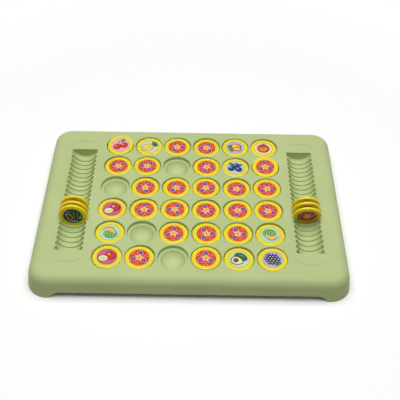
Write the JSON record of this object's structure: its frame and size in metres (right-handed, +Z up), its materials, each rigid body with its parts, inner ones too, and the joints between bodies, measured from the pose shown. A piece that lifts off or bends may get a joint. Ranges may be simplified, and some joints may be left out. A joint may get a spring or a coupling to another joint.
{
  "type": "memory card game",
  "caption": "Matching pairs game: a tray with a grid of round pockets and two ribbed side racks, holding loose two-sided discs that are lifted, flipped and stored.",
  "frame": {"origin": "bottom centre of the tray, on the plane that it stands on", "axes": "+X to the right along the tray's long side, +Y to the back, +Z up"},
  "size_m": [0.209, 0.1492, 0.0291],
  "materials": {
    "tray_plastic": "satin",
    "disc_plastic": "gloss",
    "label_print": "satin printed film"
  },
  "bodies": {
    "tray": {"tray": "tray_plastic"},
    "disc_row1_column1": {"disc_row1_column1": "disc_plastic"},
    "disc_row1_column2": {"disc_row1_column2": "disc_plastic"},
    "disc_row1_column3": {"disc_row1_column3": "disc_plastic"},
    "disc_row1_column4": {"disc_row1_column4": "disc_plastic"},
    "disc_row1_column5": {"disc_row1_column5": "disc_plastic"},
    "disc_row1_column6": {"disc_row1_column6": "disc_plastic"},
    "disc_row2_column1": {"disc_row2_column1": "disc_plastic"},
    "disc_row2_column2": {"disc_row2_column2": "disc_plastic"},
    "disc_row2_column4": {"disc_row2_column4": "disc_plastic"},
    "disc_row2_column5": {"disc_row2_column5": "disc_plastic"},
    "disc_row2_column6": {"disc_row2_column6": "disc_plastic"},
    "disc_row3_column2": {"disc_row3_column2": "disc_plastic"},
    "disc_row3_column3": {"disc_row3_column3": "disc_plastic"},
    "disc_row3_column4": {"disc_row3_column4": "disc_plastic"},
    "disc_row3_column5": {"disc_row3_column5": "disc_plastic"},
    "disc_row3_column6": {"disc_row3_column6": "disc_plastic"},
    "disc_row4_column1": {"disc_row4_column1": "disc_plastic"},
    "disc_row4_column2": {"disc_row4_column2": "disc_plastic"},
    "disc_row4_column3": {"disc_row4_column3": "disc_plastic"},
    "disc_row4_column4": {"disc_row4_column4": "disc_plastic"},
    "disc_row4_column5": {"disc_row4_column5": "disc_plastic"},
    "disc_row4_column6": {"disc_row4_column6": "disc_plastic"},
    "disc_row5_column1": {"disc_row5_column1": "disc_plastic"},
    "disc_row5_column3": {"disc_row5_column3": "disc_plastic"},
    "disc_row5_column4": {"disc_row5_column4": "disc_plastic"},
    "disc_row5_column5": {"disc_row5_column5": "disc_plastic"},
    "disc_row5_column6": {"disc_row5_column6": "disc_plastic"},
    "disc_row6_column1": {"disc_row6_column1": "disc_plastic"},
    "disc_row6_column2": {"disc_row6_column2": "disc_plastic"},
    "disc_row6_column4": {"disc_row6_column4": "disc_plastic"},
    "disc_row6_column5": {"disc_row6_column5": "disc_plastic"},
    "disc_row6_column6": {"disc_row6_column6": "disc_plastic"},
    "disc_left_rack_1": {"disc_left_rack_1": "disc_plastic"},
    "disc_left_rack_2": {"disc_left_rack_2": "disc_plastic"},
    "disc_left_rack_3": {"disc_left_rack_3": "disc_plastic"},
    "disc_right_rack_1": {"disc_right_rack_1": "disc_plastic"},
    "disc_right_rack_2": {"disc_right_rack_2": "disc_plastic"},
    "disc_right_rack_3": {"disc_right_rack_3": "disc_plastic"}
  },
  "joints": [
    {"name": "disc_row1_column1_lift", "type": "slide", "parent": "tray", "child": "disc_row1_column1", "axis": [0, 0, 1], "range_m": [0, 0.025]},
    {"name": "disc_row1_column2_lift", "type": "slide", "parent": "tray", "child": "disc_row1_column2", "axis": [0, 0, 1], "range_m": [0, 0.025]},
    {"name": "disc_row1_column3_lift", "type": "slide", "parent": "tray", "child": "disc_row1_column3", "axis": [0, 0, 1], "range_m": [0, 0.025]},
    {"name": "disc_row1_column4_lift", "type": "slide", "parent": "tray", "child": "disc_row1_column4", "axis": [0, 0, 1], "range_m": [0, 0.025]},
    {"name": "disc_row1_column5_lift", "type": "slide", "parent": "tray", "child": "disc_row1_column5", "axis": [0, 0, 1], "range_m": [0, 0.025]},
    {"name": "disc_row1_column6_lift", "type": "slide", "parent": "tray", "child": "disc_row1_column6", "axis": [0, 0, 1], "range_m": [0, 0.025]},
    {"name": "disc_row2_column1_lift", "type": "slide", "parent": "tray", "child": "disc_row2_column1", "axis": [0, 0, 1], "range_m": [0, 0.025]},
    {"name": "disc_row2_column2_lift", "type": "slide", "parent": "tray", "child": "disc_row2_column2", "axis": [0, 0, 1], "range_m": [0, 0.025]},
    {"name": "disc_row2_column4_lift", "type": "slide", "parent": "tray", "child": "disc_row2_column4", "axis": [0, 0, 1], "range_m": [0, 0.025]},
    {"name": "disc_row2_column5_lift", "type": "slide", "parent": "tray", "child": "disc_row2_column5", "axis": [0, 0, 1], "range_m": [0, 0.025]},
    {"name": "disc_row2_column6_lift", "type": "slide", "parent": "tray", "child": "disc_row2_column6", "axis": [0, 0, 1], "range_m": [0, 0.025]},
    {"name": "disc_row3_column2_lift", "type": "slide", "parent": "tray", "child": "disc_row3_column2", "axis": [0, 0, 1], "range_m": [0, 0.025]},
    {"name": "disc_row3_column3_lift", "type": "slide", "parent": "tray", "child": "disc_row3_column3", "axis": [0, 0, 1], "range_m": [0, 0.025]},
    {"name": "disc_row3_column4_lift", "type": "slide", "parent": "tray", "child": "disc_row3_column4", "axis": [0, 0, 1], "range_m": [0, 0.025]},
    {"name": "disc_row3_column5_lift", "type": "slide", "parent": "tray", "child": "disc_row3_column5", "axis": [0, 0, 1], "range_m": [0, 0.025]},
    {"name": "disc_row3_column6_lift", "type": "slide", "parent": "tray", "child": "disc_row3_column6", "axis": [0, 0, 1], "range_m": [0, 0.025]},
    {"name": "disc_row4_column1_lift", "type": "slide", "parent": "tray", "child": "disc_row4_column1", "axis": [0, 0, 1], "range_m": [0, 0.025]},
    {"name": "disc_row4_column2_lift", "type": "slide", "parent": "tray", "child": "disc_row4_column2", "axis": [0, 0, 1], "range_m": [0, 0.025]},
    {"name": "disc_row4_column3_lift", "type": "slide", "parent": "tray", "child": "disc_row4_column3", "axis": [0, 0, 1], "range_m": [0, 0.025]},
    {"name": "disc_row4_column4_lift", "type": "slide", "parent": "tray", "child": "disc_row4_column4", "axis": [0, 0, 1], "range_m": [0, 0.025]},
    {"name": "disc_row4_column5_lift", "type": "slide", "parent": "tray", "child": "disc_row4_column5", "axis": [0, 0, 1], "range_m": [0, 0.025]},
    {"name": "disc_row4_column6_lift", "type": "slide", "parent": "tray", "child": "disc_row4_column6", "axis": [0, 0, 1], "range_m": [0, 0.025]},
    {"name": "disc_row5_column1_lift", "type": "slide", "parent": "tray", "child": "disc_row5_column1", "axis": [0, 0, 1], "range_m": [0, 0.025]},
    {"name": "disc_row5_column3_lift", "type": "slide", "parent": "tray", "child": "disc_row5_column3", "axis": [0, 0, 1], "range_m": [0, 0.025]},
    {"name": "disc_row5_column4_lift", "type": "slide", "parent": "tray", "child": "disc_row5_column4", "axis": [0, 0, 1], "range_m": [0, 0.025]},
    {"name": "disc_row5_column5_lift", "type": "slide", "parent": "tray", "child": "disc_row5_column5", "axis": [0, 0, 1], "range_m": [0, 0.025]},
    {"name": "disc_row5_column6_lift", "type": "slide", "parent": "tray", "child": "disc_row5_column6", "axis": [0, 0, 1], "range_m": [0, 0.025]},
    {"name": "disc_row6_column1_lift", "type": "slide", "parent": "tray", "child": "disc_row6_column1", "axis": [0, 0, 1], "range_m": [0, 0.025]},
    {"name": "disc_row6_column2_lift", "type": "slide", "parent": "tray", "child": "disc_row6_column2", "axis": [0, 0, 1], "range_m": [0, 0.025]},
    {"name": "disc_row6_column4_lift", "type": "slide", "parent": "tray", "child": "disc_row6_column4", "axis": [0, 0, 1], "range_m": [0, 0.025]},
    {"name": "disc_row6_column5_lift", "type": "slide", "parent": "tray", "child": "disc_row6_column5", "axis": [0, 0, 1], "range_m": [0, 0.025]},
    {"name": "disc_row6_column6_lift", "type": "slide", "parent": "tray", "child": "disc_row6_column6", "axis": [0, 0, 1], "range_m": [0, 0.025]},
    {"name": "disc_left_rack_1_lift", "type": "slide", "parent": "tray", "child": "disc_left_rack_1", "axis": [0, 0.035, 0.9994], "range_m": [0, 0.025]},
    {"name": "disc_left_rack_2_lift", "type": "slide", "parent": "tray", "child": "disc_left_rack_2", "axis": [0, 0, 1], "range_m": [0, 0.025]},
    {"name": "disc_left_rack_3_lift", "type": "slide", "parent": "tray", "child": "disc_left_rack_3", "axis": [0, 0.035, 0.9994], "range_m": [0, 0.025]},
    {"name": "disc_right_rack_1_lift", "type": "slide", "parent": "tray", "child": "disc_right_rack_1", "axis": [0, -0.2169, 0.9762], "range_m": [0, 0.025]},
    {"name": "disc_right_rack_2_lift", "type": "slide", "parent": "tray", "child": "disc_right_rack_2", "axis": [0, -0.1611, 0.9869], "range_m": [0, 0.025]},
    {"name": "disc_right_rack_3_lift", "type": "slide", "parent": "tray", "child": "disc_right_rack_3", "axis": [0, -0.1308, 0.9914], "range_m": [0, 0.025]}
  ]
}
